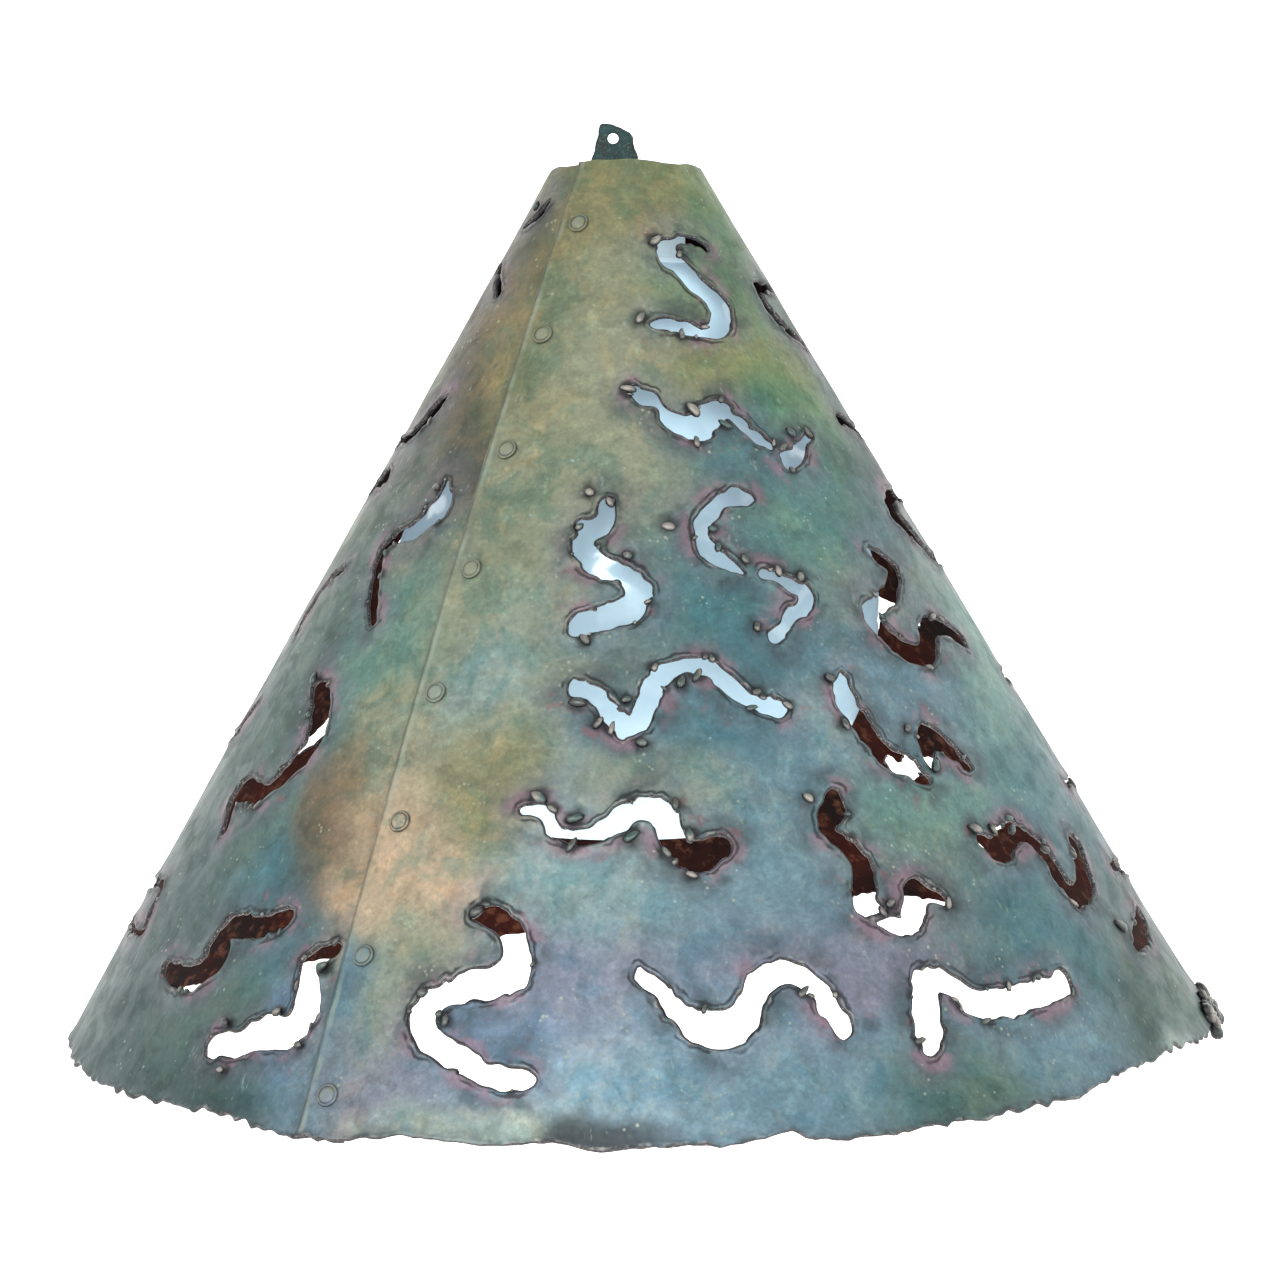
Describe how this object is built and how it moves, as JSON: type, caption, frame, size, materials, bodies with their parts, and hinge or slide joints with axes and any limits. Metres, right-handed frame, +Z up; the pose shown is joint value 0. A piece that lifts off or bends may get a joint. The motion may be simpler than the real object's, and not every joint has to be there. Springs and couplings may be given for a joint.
{
  "type": "pendant light",
  "caption": "Hanging cone shade of riveted sheet metal with wandering torch-cut slots, a hanging lug, a lampholder, a screw-cap bulb and an open opal glass.",
  "frame": {"origin": "the middle of the hole in the hanging lug, from which the lamp hangs", "axes": "+Z is up; +Y is away from the front; the shade's axis is upright, at x 4.3 mm and y 8.3 mm, because the lug stands off it"},
  "size_m": [0.405, 0.4057, 0.3185],
  "materials": {
    "patina_sheet": "green, blue and brown patina on copper-like sheet, satin",
    "patina_rivet": "brown-green patina",
    "patina_plate": "brown patina",
    "braze": "as melted",
    "patina_lug": "teal patina",
    "steel": "zinc plated",
    "brass": "satin",
    "phenolic": "moulded, semi-gloss",
    "urea": "white moulding, semi-gloss",
    "ceramic": "fired, unglazed",
    "opal_glass": "opal, gloss",
    "bulb_glass": "frosted",
    "cap_metal": "rolled",
    "solder": "as melted"
  },
  "bodies": {
    "lamp": {"shade": "patina_sheet", "seam_rivet_1": "patina_rivet", "seam_rivet_2": "patina_rivet", "seam_rivet_3": "patina_rivet", "seam_rivet_4": "patina_rivet", "seam_rivet_5": "patina_rivet", "seam_rivet_6": "patina_rivet", "seam_rivet_7": "patina_rivet", "seam_rivet_8": "patina_rivet", "top_plate": "patina_plate", "braze_bead": "braze", "hanging_lug": "patina_lug", "lug_rivet_1": "steel", "lug_rivet_2": "steel", "nipple": "brass", "nipple_nut_upper": "brass", "nipple_washer": "steel", "nipple_nut_lower": "brass", "flex_bush": "phenolic", "holder_cap": "urea", "holder_shell": "urea", "holder_core": "ceramic", "screw_shell": "brass", "middle_contact": "brass", "terminal_screw_1": "brass", "terminal_screw_2": "brass", "diffuser": "opal_glass"},
    "ring": {"glass_ring": "urea"},
    "bulb": {"bulb_glass": "bulb_glass", "bulb_cap": "cap_metal", "bulb_insulator": "phenolic", "bulb_contact": "solder"}
  },
  "joints": [
    {"name": "shade_ring_turn", "type": "hinge", "parent": "lamp", "child": "ring", "pos_m": [0.0043, 0.0083, -0.05], "axis": [0, 0, 1], "range_deg": [0, 720]},
    {"name": "bulb_withdraw", "type": "slide", "parent": "lamp", "child": "bulb", "axis": [0, 0, -1], "range_m": [0, 0.27]}
  ]
}
